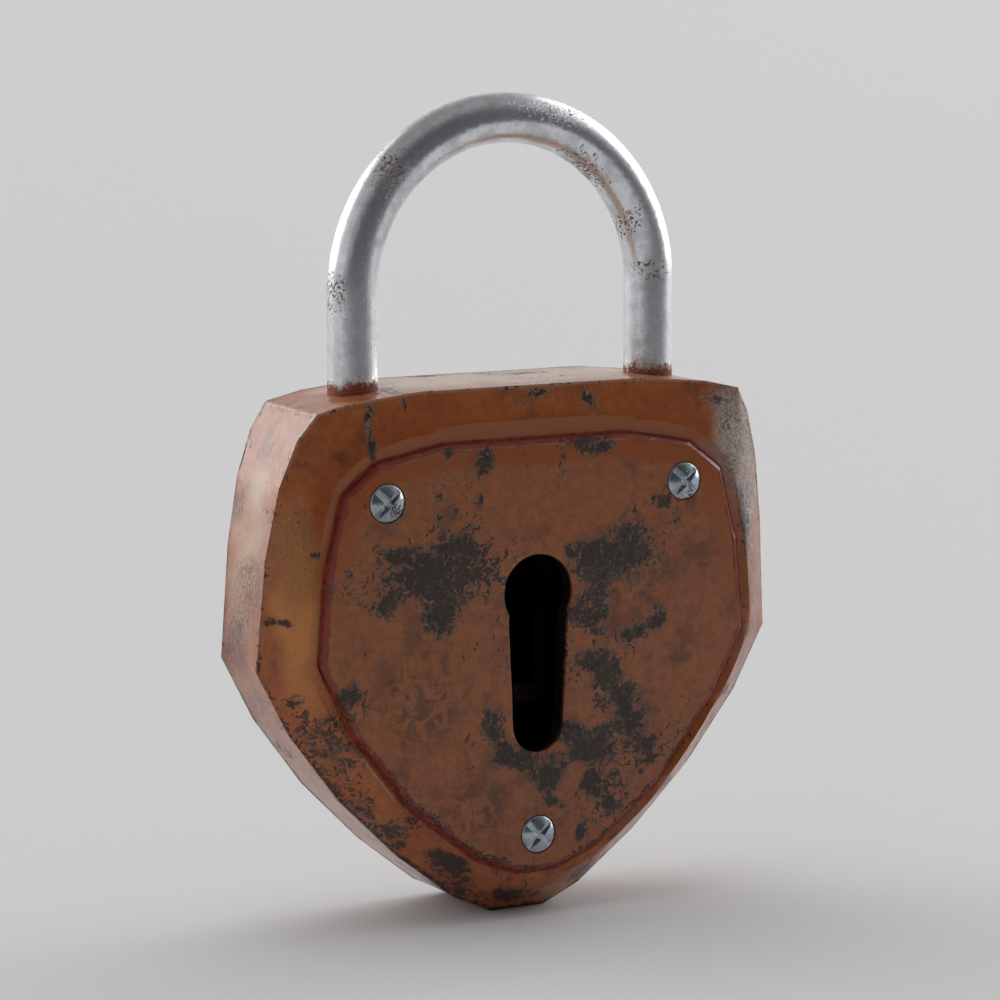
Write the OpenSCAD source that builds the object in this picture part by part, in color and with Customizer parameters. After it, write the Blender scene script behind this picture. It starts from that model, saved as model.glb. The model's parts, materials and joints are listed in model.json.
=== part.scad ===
// Warded padlock: cast case, screwed cover plate, round-bar shackle that lifts and
// a key-thrown bolt that enters a notch in the shackle's toe.
// Millimetres, +Z up. The front faces -Y, and Y = 0 is the middle plane of the shackle.
// The case stands on the small flat at its foot, at Z = 0.

/* [Case] */
// Width of the case at its widest point
body_w = 76; // [64:1:92]
// Height of the case without the shackle
body_h = 70; // [60:1:84]
// Depth of the case, front to back
body_d = 18.6; // [16:0.1:23]
// Thickness of the back wall
back_wall = 2.5; // [2:0.1:3.2]
// Width of the bevel round the back face
back_bevel = 1.6; // [0.8:0.1:2.4]
// Width of the back, as a share of the width in front
back_share = 0.977; // [0.95:0.001:1]

/* [Cover plate] */
// Thickness of the cover plate
plate_t = 2.6; // [2.2:0.1:3.2]
// Height of the cover plate above the rim round it
plate_proud = 0.25; // [0.1:0.05:0.5]
// Width of the groove between cover plate and rim
groove_w = 1.1; // [0.8:0.1:1.6]
// Depth of the groove
groove_t = 0.7; // [0.5:0.1:1.4]
// Width of the bevel on the cover plate's edge
plate_bevel = 0.5; // [0.3:0.1:0.8]
// Width of the ledge that the cover plate lies on
ledge_w = 2.2; // [1.8:0.1:2.8]

/* [Keyhole] */
// Diameter of the round top of the keyhole
bulb_d = 10; // [8:0.1:10.8]
// Width of the keyhole's slot at its top
slot_w = 8.6; // [7.4:0.1:9.4]
// Width of the keyhole's slot at its rounded foot
slot_foot_w = 7.3; // [6:0.1:7.4]

/* [Shackle] */
// Diameter of the shackle's bar
bar_d = 6.5; // [5.4:0.1:7.8]
// Height of the shackle above the case
shackle_rise = 37.2; // [34:0.1:46]
// Spread of the legs, as a share of the case's width
leg_share = 0.58; // [0.54:0.01:0.6]
// Depth of the toe's notch that the bolt enters
notch_depth = 3.2; // [2.4:0.1:3.4]

/* [Fasteners and pins] */
// Diameter of the cover screws
screw_d = 3; // [2.5:0.5:3.5]
// Diameter of the cover screws' domed heads
head_d = 4.9; // [4.6:0.1:6.4]
// Diameter of the pin that keeps the shackle in the case
keeper_d = 2; // [1.6:0.1:2.4]
// Diameter of the pins that guide the bolt
guide_d = 2.2; // [1.8:0.1:2.4]

/* [Lock work] */
// Height of the bolt
bolt_h = 5.5; // [5:0.1:6.2]
// Thickness of the bolt
bolt_t = 5; // [4:0.1:5.4]
// Thickness of the two ward plates
ward_t = 1; // [0.8:0.1:1.4]
// Wire diameter of the ejector spring
spring_wire = 0.7; // [0.5:0.1:0.9]
// Turns of the ejector spring
spring_turns = 6; // [4:1:7]

/* [Fits] */
// Radial gap of sliding and turning fits
slide_fit = 0.08; // [0.02:0.01:0.1]
// Radial gap of pressed and riveted fits
press_fit = 0.02; // [0:0.01:0.03]
// Gap that moving pieces keep from the rest
free_gap = 0.45; // [0.35:0.05:0.6]

/* [Hidden] */

$fn = 48;
eps = 0.01;

iron = "#6b3a20";
plate_iron = "#64402a";
steel = "#8f9194";
dark_steel = "#55504b";
brass = "#9a7b3f";

// Outlines are right-hand halves, listed from the foot up, as shares of half the width
// and of the height. The third value of a case point is the depth of the front edge
// behind the front plane, as a share of the depth: the rim slopes back more at the sides.
CASE = [[0.105, 0, 0.295], [0.247, 0.034, 0.3], [0.471, 0.127, 0.295], [0.692, 0.244, 0.29],
    [0.879, 0.376, 0.285], [1, 0.499, 0.28], [0.971, 0.71, 0.24], [0.932, 0.836, 0.185],
    [0.879, 0.922, 0.125], [0.82, 0.97, 0.06], [0.682, 0.987, 0.055], [0.434, 1, 0.05]];
PLATE = [[0.079, 0.089], [0.234, 0.123], [0.487, 0.233], [0.7, 0.38], [0.826, 0.511],
    [0.8, 0.683], [0.734, 0.821], [0.61, 0.874], [0.355, 0.9]];

// Main planes, from the front to the back
front_y = -body_d / 2;
back_y = body_d / 2;
plate_y = front_y - plate_proud;
seat_y = front_y + plate_t - plate_proud;
floor_y = back_y - back_wall;
ward_in = bolt_t / 2 + 0.2;
ward_out = ward_in + ward_t;

// Shackle
bar_r = bar_d / 2;
leg_x = leg_share * body_w / 2;
bow_z = body_h + shackle_rise - leg_x - bar_r;

// Bolt, and the toe that it locks
bolt_z = 0.796 * body_h;
notch_clear = 0.3;
toe_tip = bolt_z - bolt_h / 2 - 3;
lift = body_h - toe_tip + 1;
bolt_left = -leg_x + bar_r + 0.35;
throw = notch_depth + 0.1;
bolt_right = leg_x - bar_r - free_gap - 0.8;
talon_left = -3.2;
talon_w = 8;
talon_h = 2.9;

// Keeper pin, and the heel that it holds
keeper_r = keeper_d / 2;
keeper_z = 0.921 * body_h;
flat_depth = 0.9;
keeper_x = leg_x + bar_r - flat_depth + 0.1 + keeper_r;
neck_half = keeper_r + 0.3;
heel_tip = keeper_z - lift - neck_half - 3.7;

// Ejector spring under the heel
spring_h = 9;
spring_r = 2.3;
spring_seat = heel_tip - spring_h;

// Posts that carry the ward plates
post_r = 2;
post_foot_r = 2.5;
post_stem_r = 1.3;
eye_t = 0.55;
leaf_t = 0.4;
leaf_w = 3;
post_x = leg_x - bar_r - free_gap - post_r - eye_t;
upper_post_z = 0.65 * body_h;
lower_post_x = 0.72 * post_x;
lower_post_z = 0.436 * body_h;
ward_half = leg_x - bar_r - free_gap - 0.2;

// Key
key_z = 0.614 * body_h;
slot_foot_z = 0.366 * body_h;
bush_r = 3.4;
ring_ward_r = 9.2;
ring_front = max(floor_y - 1.8, ward_out + 0.4);

// Screws
screw_x = 0.579 * body_w / 2;
screw_z = 0.802 * body_h;
foot_screw_z = 0.157 * body_h;
lug_y = -bar_r - free_gap - 0.2;
lug_r = 4.4;
head_sink = 0.5;
head_dome = 0.75;

// Guide pins of the bolt
guide_r = guide_d / 2;
left_guide_x = -0.5 * leg_x;
right_guide_x = 0.36 * leg_x;
detent_x = 0.5 * leg_x;

function cyc(p, i) = p[(i + len(p)) % len(p)];
function unit(v) = v / norm(v);
// Closed outline from the right-hand half's shares
function both(h) = concat([for (q = h) [q[0] * body_w / 2, q[1] * body_h]],
    [for (i = [len(h) - 1 : -1 : 0]) [-h[i][0] * body_w / 2, h[i][1] * body_h]]);
// Outline set at depth y
function at_depth(p, y) = [for (q = p) [q[0], y, q[1]]];
// Closed outline with every side moved inwards by d
function inset(p, d) = [for (i = [0 : len(p) - 1])
    let (u = unit(cyc(p, i) - cyc(p, i - 1)), w = unit(cyc(p, i + 1) - cyc(p, i)),
        n = [-u[1], u[0]], m = [-w[1], w[0]])
    cyc(p, i) + (n + m) * d / (1 + n * m)];
// Closed outline of a strip of thickness t along the points of p
function strip(p, t) = concat([for (i = [0 : len(p) - 1]) p[i] + side(p, i) * t / 2],
    [for (i = [len(p) - 1 : -1 : 0]) p[i] - side(p, i) * t / 2]);
function side(p, i) = let (a = p[max(i - 1, 0)], b = p[min(i + 1, len(p) - 1)],
    u = unit(b - a)) [-u[1], u[0]];

case_edge = both(CASE);
plate_edge = both(PLATE);

// Extrudes X-Z shapes from y0 back to y1
module along_y(y0, y1) { translate([0, y1, 0]) rotate([90, 0, 0]) linear_extrude(y1 - y0) children(); }
// Round bar along Y
module rod(x, z, r, y0, y1) { translate([x, y1, z]) rotate([90, 0, 0]) cylinder(r = r, h = y1 - y0); }
// Convex solid on a cloud of points
module wrap(points) { hull() polyhedron(points, [[for (i = [0 : len(points) - 1]) i]]); }

// Case: faceted outside with a sloping rim, drawn in to a bevelled back
module case_outside() {
    rim_edge = [for (s = [1, -1]) for (q = CASE)
        [s * q[0] * body_w / 2, front_y + q[2] * body_d, q[1] * body_h]];
    back_edge = [for (q = case_edge) [q[0] * back_share, q[1]]];
    wrap(concat(at_depth(inset(plate_edge, -groove_w - 0.2), front_y), rim_edge,
        at_depth(back_edge, back_y - 0.7 * back_bevel), at_depth(inset(back_edge, back_bevel), back_y)));
}

// Pocket for the cover plate, with the tapered groove round it
module plate_pocket() {
    along_y(front_y - 1, seat_y) polygon(inset(plate_edge, -0.15));
    wrap(concat(at_depth(inset(plate_edge, -groove_w), front_y - eps),
        at_depth(inset(plate_edge, -0.15), front_y + groove_t)));
}

// What stands inside the cavity: screw lugs, the spring's seat and the toe's stop
module case_inside() {
    for (s = [-1, 1]) {
        rod(s * screw_x, screw_z, lug_r, seat_y, lug_y);
        translate([s > 0 ? screw_x - 1 : -screw_x - lug_r, seat_y, screw_z])
            cube([lug_r + 1, lug_y - seat_y, lug_r + 1]);
    }
    rod(0, foot_screw_z, lug_r, seat_y, floor_y + 1);
    intersection() {
        along_y(seat_y, floor_y + 1) polygon(inset(plate_edge, ledge_w - 1));
        union() {
            translate([leg_x - 4, -4, 0]) cube([12, floor_y + 5, spring_seat]);
            translate([-leg_x - 8, -4, toe_tip - 5.2]) cube([10.6, floor_y + 5, 5]);
        }
    }
    translate([leg_x, 0, spring_seat - eps]) cylinder(r = spring_r - spring_wire / 2 - 0.3, h = 2.2);
    rod(0, key_z, bush_r + 1.6, floor_y - 1.2, floor_y + 1);
}

module case() {
    color(iron)
    difference() {
        union() {
            difference() {
                case_outside();
                plate_pocket();
                along_y(seat_y - eps, floor_y) polygon(inset(plate_edge, ledge_w));
            }
            case_inside();
        }
        for (s = [-1, 1]) {
            translate([s * leg_x, 0, bolt_z]) cylinder(r = bar_r + slide_fit, h = body_h);
            rod(s * screw_x, screw_z, screw_d / 2 + press_fit, seat_y - 1, lug_y + 1);
        }
        rod(0, foot_screw_z, screw_d / 2 + press_fit, seat_y - 1, lug_y + 1);
        rod(keeper_x, keeper_z, keeper_r + press_fit, front_y + 4.3, back_y + 1);
        rod(0, key_z, bush_r + press_fit, floor_y - 2, floor_y + 1.2);
        for (p = post_places) rod(p[0], p[1], post_stem_r + press_fit, floor_y - 1, back_y + 1);
        translate([leg_x, 0, spring_seat]) difference() {
            cylinder(r = spring_r + spring_wire / 2 + 0.25, h = spring_h);
            cylinder(r = spring_r - spring_wire / 2 - 0.3, h = 2.2);
        }
    }
}

// Keyhole: round top over a slot that narrows to a rounded foot
module keyhole() {
    translate([0, key_z]) circle(d = bulb_d);
    translate([0, slot_foot_z]) circle(d = slot_foot_w);
    polygon([[-slot_foot_w / 2, slot_foot_z], [slot_foot_w / 2, slot_foot_z],
        [slot_w / 2, key_z - 0.9 * bulb_d / 2], [slot_w / 2, key_z - 0.4 * bulb_d / 2],
        [-slot_w / 2, key_z - 0.4 * bulb_d / 2], [-slot_w / 2, key_z - 0.9 * bulb_d / 2]]);
}

module front_plate() {
    color(plate_iron)
    difference() {
        union() {
            along_y(plate_y + 0.45 - eps, seat_y) polygon(plate_edge);
            wrap(concat(at_depth(inset(plate_edge, plate_bevel), plate_y),
                at_depth(plate_edge, plate_y + 0.45)));
        }
        along_y(plate_y - 1, seat_y + 1) keyhole();
        for (p = screw_places) {
            rod(p[0], p[1], screw_d / 2 + 0.2, plate_y - 1, seat_y + 1);
            rod(p[0], p[1], head_d / 2 + 0.12, plate_y - 1, plate_y + head_sink);
        }
    }
}

screw_places = [[-screw_x, screw_z], [screw_x, screw_z], [0, foot_screw_z]];

// Cover screw with a domed head and a cross slot
module cover_screw(p) {
    dome_r = (pow(head_d / 2, 2) + pow(head_dome, 2)) / (2 * head_dome);
    color(steel)
    translate([p[0], 0, p[1]])
    difference() {
        union() {
            rod(0, 0, screw_d / 2, plate_y + head_sink - eps, lug_y - 0.3);
            rod(0, 0, head_d / 2, plate_y, plate_y + head_sink);
            intersection() {
                rod(0, 0, head_d / 2, plate_y - head_dome - 1, plate_y + eps);
                translate([0, plate_y - head_dome + dome_r, 0]) sphere(r = dome_r);
            }
        }
        for (a = [45, 135]) rotate([0, a, 0])
            translate([-head_d, plate_y - head_dome - 1, -0.4]) cube([2 * head_d, 1.65, 0.8]);
    }
}
module cover_screw_left() { cover_screw(screw_places[0]); }
module cover_screw_right() { cover_screw(screw_places[1]); }
module cover_screw_bottom() { cover_screw(screw_places[2]); }

// Leg of the shackle from its tip up to the bow, with a bevelled tip
module leg(x, tip) {
    translate([x, 0, tip + 0.8]) cylinder(r = bar_r, h = bow_z - tip - 0.8);
    translate([x, 0, tip]) cylinder(r1 = bar_r - 0.8, r2 = bar_r, h = 0.8);
}

// Shackle: heel on the right with the keeper's flat and neck, toe on the left with the notch
module shackle() {
    color(steel)
    difference() {
        union() {
            leg(leg_x, heel_tip);
            leg(-leg_x, toe_tip);
            translate([0, 0, bow_z]) rotate([90, 0, 0])
                rotate_extrude(angle = 180, $fn = 96) translate([leg_x, 0]) circle(r = bar_r);
        }
        translate([leg_x + bar_r - flat_depth, -bar_r - 1, keeper_z - lift - neck_half])
            cube([flat_depth + 1, bar_d + 2, lift + 2 * neck_half]);
        translate([leg_x, 0, keeper_z - lift - neck_half]) difference() {
            cylinder(r = bar_r + 1, h = 2 * neck_half);
            cylinder(r = bar_r - flat_depth, h = 2 * neck_half);
        }
        translate([-leg_x + bar_r - notch_depth, -bar_r - 1, bolt_z - bolt_h / 2 - notch_clear])
            cube([notch_depth + 1, bar_d + 2, bolt_h + 2 * notch_clear]);
    }
}

// Pin across the heel's flat, riveted flush in the back of the case
module shackle_keeper_pin() {
    color(steel) rod(keeper_x, keeper_z, keeper_r, front_y + 4.4, back_y);
}

// Ejector spring: round wire on a helix, with flat-ground ends left out
module ejector_spring() {
    steps = 16;
    ring = 8;
    turns = spring_turns;
    rise = spring_h - spring_wire - 0.1;
    n = steps * turns;
    pts = [for (i = [0 : n]) let (a = 360 * i / steps, z = spring_seat + spring_wire / 2 + 0.05 + rise * i / n)
        for (j = [0 : ring - 1]) let (b = 360 * j / ring, r = spring_r + spring_wire / 2 * cos(b))
            [leg_x + r * cos(a), r * sin(a), z + spring_wire / 2 * sin(b)]];
    color(dark_steel)
    polyhedron(pts, concat(
        [[for (j = [0 : ring - 1]) j]],
        [for (i = [0 : n - 1]) for (j = [0 : ring - 1]) let (k = (j + 1) % ring)
            [i * ring + j, (i + 1) * ring + j, (i + 1) * ring + k, i * ring + k]],
        [[for (j = [ring - 1 : -1 : 0]) n * ring + j]]));
}

// Bolt: its tip enters the toe's notch, and the key's bit works in the talon under it
module locking_bolt() {
    foot = bolt_z - bolt_h / 2;
    color(dark_steel)
    along_y(-bolt_t / 2, bolt_t / 2)
    difference() {
        polygon([[bolt_left, foot + 0.5], [bolt_left + 0.5, foot], [bolt_right, foot],
            [bolt_right, foot + bolt_h], [bolt_left + 0.5, foot + bolt_h],
            [bolt_left, foot + bolt_h - 0.5]]);
        polygon([[talon_left, foot - 1], [talon_left + talon_w, foot - 1],
            [talon_left + talon_w - 0.6, foot + talon_h], [talon_left + 0.6, foot + talon_h]]);
        for (x = [left_guide_x, right_guide_x]) {
            translate([x, bolt_z]) circle(r = guide_r + slide_fit);
            translate([x + throw, bolt_z]) circle(r = guide_r + slide_fit);
            translate([x, bolt_z - guide_r - slide_fit]) square([throw, 2 * (guide_r + slide_fit)]);
        }
        for (x = [detent_x, detent_x + throw])
            polygon([[x - 0.8, foot - 1], [x - 0.8, foot], [x, foot + 0.6], [x + 0.8, foot], [x + 0.8, foot - 1]]);
    }
}

// Leaf spring: an eye round the upper right post and a strip that rises to the bolt's detents
module bolt_spring() {
    eye_r = post_r + 0.05;
    run_x = post_x + eye_r + eye_t / 2;
    foot = bolt_z - bolt_h / 2;
    path = [[run_x, upper_post_z], [run_x, foot - 4.2], [run_x - 0.8, foot - 2.2],
        [run_x - 2.6, foot - 1.3], [detent_x + 1.2, foot - 0.9], [detent_x, foot + 0.05],
        [detent_x - 1.2, foot - 0.9]];
    color(steel) {
        along_y(-leaf_w / 2, leaf_w / 2) difference() {
            translate([post_x, upper_post_z]) circle(r = eye_r + eye_t);
            translate([post_x, upper_post_z]) circle(r = eye_r);
            translate([post_x - eye_r - 1, upper_post_z + 0.4]) square([2 * eye_r, 2 * eye_r]);
        }
        along_y(-leaf_w / 2, leaf_w / 2) polygon(strip(path, leaf_t));
    }
}

// Guide pin of the bolt, riveted in both ward plates
module bolt_guide_pin(x) { color(steel) rod(x, bolt_z, guide_r, -ward_out, ward_out); }
module bolt_guide_pin_left() { bolt_guide_pin(left_guide_x); }
module bolt_guide_pin_right() { bolt_guide_pin(right_guide_x); }

post_places = [[-post_x, upper_post_z], [post_x, upper_post_z],
    [-lower_post_x, lower_post_z], [lower_post_x, lower_post_z]];

// Ward plate: a sheet with a narrow keyhole, bored for the posts and the guide pins
module ward_plate(y0, hole_r) {
    foot = lower_post_z - 3;
    top = bolt_z + bolt_h / 2 + 0.6;
    color(dark_steel)
    difference() {
        along_y(y0, y0 + ward_t) polygon([[-lower_post_x - 2.6, foot], [lower_post_x + 2.6, foot],
            [ward_half, upper_post_z - 4], [ward_half, top - 2.5], [ward_half - 3, top],
            [3 - ward_half, top], [-ward_half, top - 2.5], [-ward_half, upper_post_z - 4]]);
        along_y(y0 - 1, y0 + ward_t + 1) {
            translate([0, key_z]) circle(d = bulb_d - 1.2);
            translate([-2.6, foot + 2.4]) square([5.2, key_z - foot - 2.4]);
        }
        for (p = post_places) rod(p[0], p[1], hole_r + press_fit, y0 - 1, y0 + ward_t + 1);
        for (x = [left_guide_x, right_guide_x])
            rod(x, bolt_z, guide_r + press_fit, y0 - 1, y0 + ward_t + 1);
    }
}
module front_ward_plate() { ward_plate(-ward_out, post_stem_r); }
module back_ward_plate() { ward_plate(ward_in, post_r); }

// Stepped post: riveted stem, foot, body between the plates, and riveted head
module ward_post(p) {
    color(steel) {
        rod(p[0], p[1], post_stem_r, floor_y, back_y);
        rod(p[0], p[1], post_foot_r, ward_out, floor_y);
        rod(p[0], p[1], post_r, -ward_in, ward_out);
        rod(p[0], p[1], post_stem_r, -ward_out, -ward_in);
        rod(p[0], p[1], post_stem_r + 0.5, -ward_out - 0.6, -ward_out);
    }
}
module ward_post_upper_left() { ward_post(post_places[0]); }
module ward_post_upper_right() { ward_post(post_places[1]); }
module ward_post_lower_left() { ward_post(post_places[2]); }
module ward_post_lower_right() { ward_post(post_places[3]); }

// Bush in the back wall that the key's tip turns in
module key_bush() {
    color(brass)
    difference() {
        rod(0, key_z, bush_r, floor_y - 1.6, floor_y + 1.2);
        rod(0, key_z, 1.8, floor_y - 3, floor_y + 0.4);
    }
}

// Ring ward on the back wall, open below for the key's bit
module back_ring_ward() {
    color(dark_steel)
    along_y(ring_front, floor_y)
    difference() {
        translate([0, key_z]) circle(r = ring_ward_r);
        translate([0, key_z]) circle(r = ring_ward_r - 0.8);
        translate([-3, key_z - ring_ward_r - 1]) square([6, ring_ward_r + 1]);
    }
}

case();
front_plate();
cover_screw_left();
cover_screw_right();
cover_screw_bottom();
shackle();
shackle_keeper_pin();
ejector_spring();
locking_bolt();
bolt_spring();
bolt_guide_pin_left();
bolt_guide_pin_right();
front_ward_plate();
back_ward_plate();
ward_post_upper_left();
ward_post_upper_right();
ward_post_lower_left();
ward_post_lower_right();
back_ring_ward();
key_bush();
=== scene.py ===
"""Rusty warded padlock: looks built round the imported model.

The case and cover plate are worn copies of their CAD nodes: edges are rounded, flats get a fine
grid, and the surface is dented and nibbled inwards. The shackle and cover screws are copies too,
without dents. A bead of young rust runs three times round the plate. The lock work inside keeps its
CAD nodes. Lengths in tables are in millimetres, and meshes are in metres.
"""

import json
import math

import bmesh
import bpy
import numpy as np
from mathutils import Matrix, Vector, noise


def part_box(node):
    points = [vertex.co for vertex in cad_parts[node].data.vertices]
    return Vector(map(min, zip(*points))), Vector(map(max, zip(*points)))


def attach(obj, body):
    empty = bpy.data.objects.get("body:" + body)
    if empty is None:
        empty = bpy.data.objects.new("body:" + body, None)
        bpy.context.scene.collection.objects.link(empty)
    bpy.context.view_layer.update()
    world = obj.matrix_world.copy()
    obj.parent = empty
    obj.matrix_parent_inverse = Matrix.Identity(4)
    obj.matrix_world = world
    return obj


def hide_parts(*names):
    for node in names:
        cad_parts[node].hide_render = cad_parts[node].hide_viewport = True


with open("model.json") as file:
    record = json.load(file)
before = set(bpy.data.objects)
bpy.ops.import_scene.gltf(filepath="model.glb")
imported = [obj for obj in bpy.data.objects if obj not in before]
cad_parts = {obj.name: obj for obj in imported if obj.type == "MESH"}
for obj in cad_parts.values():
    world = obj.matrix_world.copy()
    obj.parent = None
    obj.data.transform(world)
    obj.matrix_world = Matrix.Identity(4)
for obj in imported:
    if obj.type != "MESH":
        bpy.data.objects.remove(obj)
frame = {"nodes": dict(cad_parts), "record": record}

# noise.noise_vector takes its offsets from this seed, so the wear is the same on every run
noise.seed_set(5)

MM = 0.001
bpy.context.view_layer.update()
BAR_RADIUS = 3.25 * MM
BORE_RADIUS = 3.33 * MM
CASE_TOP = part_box("case")[1].z
LEG_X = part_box("shackle")[1].x - BAR_RADIUS
PLATE_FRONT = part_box("front_plate")[0].y
SLOT_OF = {p["node"]: p["material_slot"] for p in frame["record"]["subparts"]}
SCREWS = ["cover_screw_left", "cover_screw_right", "cover_screw_bottom"]
SCREW_SPOTS = [Vector(((a.x + b.x) / 2, (a.z + b.z) / 2)) for a, b in (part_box(n) for n in SCREWS)]

JOIN = 2e-6         # vertices nearer than this become one
ON_PLANE = 8e-6     # a point nearer than this to a plane lies on it
FAR = 9.0           # a distance, in mm or in spot sizes, past which nothing is worn


# ---------------------------------------------------------------- colours and nodes

def colour(hex_code):
    """Linear RGBA of an sRGB hex colour."""
    parts = [int(hex_code[i:i + 2], 16) / 255 for i in (1, 3, 5)]
    return [c / 12.92 if c <= 0.04045 else ((c + 0.055) / 1.055) ** 2.4 for c in parts] + [1.0]


def add(tree, kind, inputs=None, **settings):
    """Adds a node, sets its properties, and fills its inputs with values or links."""
    made = tree.nodes.new("ShaderNode" + kind)
    for key, value in settings.items():
        setattr(made, key, value)
    for key, value in (inputs or {}).items():
        if isinstance(value, bpy.types.NodeSocket):
            tree.links.new(value, made.inputs[key])
        else:
            made.inputs[key].default_value = value
    return made


# Sockets of the Mix node for colours and for numbers
FAC, COL_A, COL_B, COL_OUT, NUM_A, NUM_B = 0, 6, 7, 2, 2, 3


def new_material(name):
    """Material with an empty Principled shader, and its place in millimetres."""
    mat = bpy.data.materials.new(name)
    mat.use_nodes = True
    tree = mat.node_tree
    tree.nodes.clear()
    shader = add(tree, "BsdfPrincipled")
    add(tree, "OutputMaterial", {"Surface": shader.outputs[0]})
    coords = add(tree, "TexCoord")
    place = add(tree, "VectorMath", {0: coords.outputs["Object"], "Scale": 1 / MM}, operation="SCALE")
    return mat, tree, shader, place.outputs[0]


def fade(tree, value, start, end, top=1.0):
    """Mask that is 0 at start and top at end."""
    return add(tree, "MapRange", {"Value": value, "From Min": start, "From Max": end, "To Max": top},
               interpolation_type="SMOOTHSTEP").outputs[0]


def pattern(tree, place, size, low, high, detail=4.0, rough=0.6, shift=0.0, top=1.0, curl=0.0):
    """Mask from noise with features of about size mm: 0 below low, top above high."""
    moved = add(tree, "Mapping", {"Vector": place, "Location": (shift, shift, shift)})
    field = add(tree, "TexNoise", {"Vector": moved.outputs[0], "Scale": 1 / size, "Detail": detail,
                                   "Roughness": rough, "Distortion": curl})
    return fade(tree, field.outputs[0], low, high, top)


def spots(tree, place, table):
    """Distance to the nearest spot, worked out by nodes: 0 in its middle and 1 at its rim."""
    nearest = None
    for x, y, z, half_x, half_y, half_z, turn in table:
        local = add(tree, "Mapping", {"Vector": place, "Location": (x, y, z),
                                      "Rotation": (0, math.radians(turn), 0),
                                      "Scale": (half_x, half_y, half_z)}, vector_type="TEXTURE")
        reach = add(tree, "VectorMath", {0: local.outputs[0]}, operation="LENGTH").outputs["Value"]
        if nearest is not None:
            reach = add(tree, "Math", {0: nearest, 1: reach, 2: 0.25}, operation="SMOOTH_MIN").outputs[0]
        nearest = reach
    return nearest


# ---------------------------------------------------------------- meshes

def joined_copy(node_name):
    """Copy of a CAD node's mesh, with its loose triangles joined."""
    bm = bmesh.new()
    bm.from_mesh(frame["nodes"][node_name].data)
    bmesh.ops.remove_doubles(bm, verts=bm.verts, dist=JOIN)
    return bm


def merged_copy(node_name):
    """Joined copy of a CAD node's mesh, with the triangles of each flat merged to one face."""
    bm = joined_copy(node_name)
    bmesh.ops.dissolve_limit(bm, angle_limit=math.radians(0.4), verts=bm.verts, edges=bm.edges)
    return bm


def outer_planes(bm):
    """Planes of the convex hull, as (normal, point) pairs."""
    shell = bm.copy()
    made = bmesh.ops.convex_hull(shell, input=shell.verts)["geom"]
    planes = {}
    for f in made:
        if isinstance(f, bmesh.types.BMFace):
            f.normal_update()
            key = tuple(round(c, 3) for c in f.normal)
            planes.setdefault(key, (f.normal.copy(), f.verts[0].co.copy()))
    shell.free()
    return list(planes.values())


def depth_under(points, planes):
    """Distance in millimetres from each point in to the nearest plane."""
    return np.min([np.abs((points - np.array(p)) @ np.array(n)) for n, p in planes], axis=0) / MM


def on_outside(point, planes):
    """Whether a point lies on one of the hull's planes."""
    return any(abs((point - p).dot(n)) < ON_PLANE for n, p in planes)


def middle_of(edge):
    return (edge.verts[0].co + edge.verts[1].co) / 2


def sharp_edges(bm, angle, keep=lambda e: True):
    """Edges whose faces meet at more than angle degrees."""
    limit = math.radians(angle)
    return [e for e in bm.edges if len(e.link_faces) == 2 and e.calc_face_angle(0) > limit and keep(e)]


def segments(edges):
    """Ends of edges as an array, kept before the edges are bevelled away."""
    return np.array([[e.verts[0].co[:], e.verts[1].co[:]] for e in edges])


def gap_to(points, lines):
    """Distance in millimetres from each point to the nearest line segment, at most FAR."""
    best = np.full(len(points), FAR)
    for a, b in lines:
        run = b - a
        share = np.clip(((points - a) @ run) / max(run @ run, 1e-18), 0, 1)
        best = np.minimum(best, np.linalg.norm(points - a - share[:, None] * run, axis=1) / MM)
    return best


def bevel(bm, edges, width, count=2):
    """Rounds edges over width mm, in count steps."""
    bmesh.ops.bevel(bm, geom=edges, offset=width * MM, offset_type="OFFSET", segments=count,
                    profile=0.5, affect="EDGES", material=-1, clamp_overlap=True)


def grid_cut(bm, faces, cell):
    """Cuts the faces along X, Y and Z planes that are about cell mm apart."""
    geom = list(faces)
    geom += list({e for f in faces for e in f.edges})
    geom += list({v for f in faces for v in f.verts})
    for axis in range(3):
        reach = [v.co[axis] for f in faces for v in f.verts]
        low, high = min(reach), max(reach)
        count = int((high - low) / (cell * MM))
        normal = Vector([float(axis == i) for i in range(3)])
        for i in range(1, count + 1):
            at = normal * (low + (high - low) * i / (count + 1))
            geom = bmesh.ops.bisect_plane(bm, geom=geom, dist=JOIN, plane_co=at, plane_no=normal)["geom"]


def finish_mesh(bm, name, crease=32):
    """Object from a bmesh, smooth but for edges sharper than crease degrees."""
    bmesh.ops.triangulate(bm, faces=[f for f in bm.faces if len(f.verts) > 4])
    for f in bm.faces:
        f.smooth = True
    for e in bm.edges:
        e.smooth = len(e.link_faces) == 2 and e.calc_face_angle(0) < math.radians(crease)
    mesh = bpy.data.meshes.new(name)
    bm.to_mesh(mesh)
    bm.free()
    piece = bpy.data.objects.new(name, mesh)
    bpy.context.scene.collection.objects.link(piece)
    return piece


def weigh_normals(piece):
    """Keeps flats flat in the shading next to narrow bevels."""
    mod = piece.modifiers.new("flats", "WEIGHTED_NORMAL")
    mod.keep_sharp = True
    mod.weight = 60


def mark(piece, name, values):
    """Stores one number a vertex, for the material to read."""
    layer = piece.data.attributes.new(name, "FLOAT", "POINT")
    layer.data.foreach_set("value", np.asarray(values, dtype=np.float32))


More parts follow.
